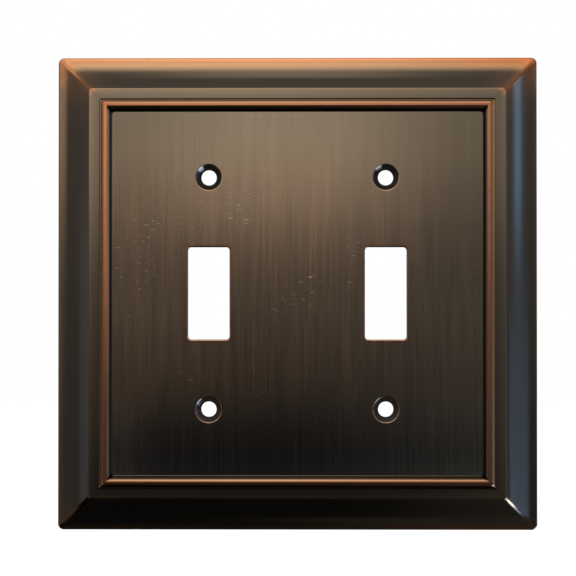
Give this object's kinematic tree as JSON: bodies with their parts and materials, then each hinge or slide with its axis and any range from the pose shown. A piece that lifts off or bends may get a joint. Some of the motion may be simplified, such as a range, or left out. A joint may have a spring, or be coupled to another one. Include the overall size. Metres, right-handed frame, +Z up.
{
  "type": "wall plate cover",
  "caption": "Square moulded metal wall plate with a hollow-curved border, bead and recessed brushed panel, slotted for toggle switches and countersunk for its fixing screws.",
  "frame": {"origin": "centre of the plate on the plane of its back rim, which is the wall plane", "axes": "-Y out of the wall, towards the viewer; +Y into the wall; +X to the viewer's right; +Z up"},
  "size_m": [0.1256, 0.0072, 0.1238],
  "materials": {
    "dark_bronze": "oil-rubbed dark bronze plating with copper showing on the worn edges, brushed panel"
  },
  "bodies": {
    "root": {"cover_plate": "dark_bronze"}
  },
  "joints": []
}
